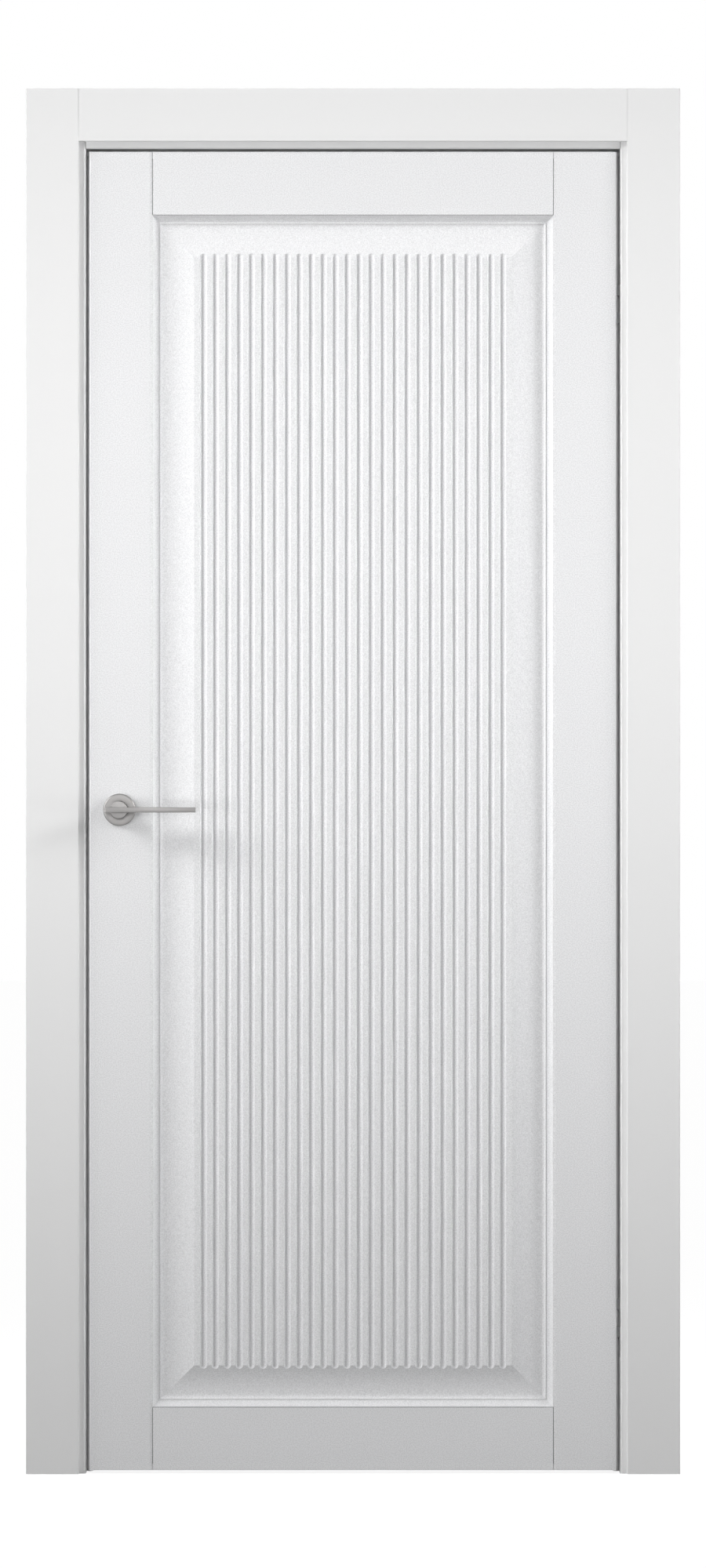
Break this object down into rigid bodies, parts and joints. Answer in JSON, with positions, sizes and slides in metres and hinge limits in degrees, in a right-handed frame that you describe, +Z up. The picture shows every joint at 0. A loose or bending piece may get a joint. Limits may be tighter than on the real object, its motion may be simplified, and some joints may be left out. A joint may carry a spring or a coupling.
{
  "type": "interior door",
  "caption": "White interior door with one fluted raised panel in a cased frame, lever handles, a magnetic latch and concealed hinges; the leaf swings and the levers turn.",
  "frame": {"origin": "on the wall face of the hinge jamb, at floor level, half way through the frame's depth", "axes": "+Z up, +X out of the hinge jamb into the wall, +Y from the side the leaf opens to towards the other room"},
  "size_m": [0.991, 0.156, 2.1005],
  "materials": {
    "leaf_enamel": "satin",
    "trim_enamel": "satin",
    "edge_band": "matte",
    "seal_rubber": "matte",
    "satin_nickel": "satin",
    "hinge_zamak": "satin"
  },
  "bodies": {
    "frame": {"jamb_strike": "trim_enamel", "jamb_hinge": "trim_enamel", "jamb_head": "trim_enamel", "stop_strike": "trim_enamel", "stop_hinge": "trim_enamel", "stop_head": "trim_enamel", "casing_front_left": "trim_enamel", "casing_front_right": "trim_enamel", "casing_front_head": "trim_enamel", "casing_back_left": "trim_enamel", "casing_back_right": "trim_enamel", "casing_back_head": "trim_enamel", "seal_strike": "seal_rubber", "seal_hinge": "seal_rubber", "seal_head": "seal_rubber", "strike_plate": "satin_nickel", "hinge_cup_frame_upper": "hinge_zamak", "hinge_cup_frame_lower": "hinge_zamak"},
    "leaf": {"stile_lock": "leaf_enamel", "stile_hinge": "leaf_enamel", "rail_top": "leaf_enamel", "rail_bottom": "leaf_enamel", "panel": "leaf_enamel", "bead_front_left": "leaf_enamel", "bead_front_right": "leaf_enamel", "bead_front_top": "leaf_enamel", "bead_front_bottom": "leaf_enamel", "bead_back_left": "leaf_enamel", "bead_back_right": "leaf_enamel", "bead_back_top": "leaf_enamel", "bead_back_bottom": "leaf_enamel", "edge_band_lock": "edge_band", "edge_band_hinge": "edge_band", "latch": "satin_nickel", "latch_bolt": "satin_nickel", "rose_front": "satin_nickel", "rose_back": "satin_nickel", "hinge_cup_leaf_upper": "hinge_zamak", "hinge_cup_leaf_lower": "hinge_zamak"},
    "handle": {"lever_front": "satin_nickel", "lever_back": "satin_nickel", "spindle": "satin_nickel"},
    "hinge_arms": {"hinge_arm_upper": "hinge_zamak", "hinge_arm_lower": "hinge_zamak"}
  },
  "joints": [
    {"name": "leaf_swing", "type": "hinge", "parent": "frame", "child": "leaf", "pos_m": [-0.0285, -0.045, 0], "axis": [0, 0, 1], "range_deg": [0, 100]},
    {"name": "hinge_arms_swing", "type": "hinge", "parent": "frame", "child": "hinge_arms", "pos_m": [-0.0285, -0.045, 0], "axis": [0, 0, 1], "range_deg": [0, 50]},
    {"name": "lever_turn", "type": "hinge", "parent": "leaf", "child": "handle", "pos_m": [-0.785, -0.02, 1.007], "axis": [0, 1, 0], "range_deg": [0, 45], "stiffness_Nm_per_rad": 0.8, "springref_deg": -34.38}
  ],
  "couplings": [
    {"joint": "hinge_arms_swing", "follows": "leaf_swing", "ratio": 0.5}
  ]
}
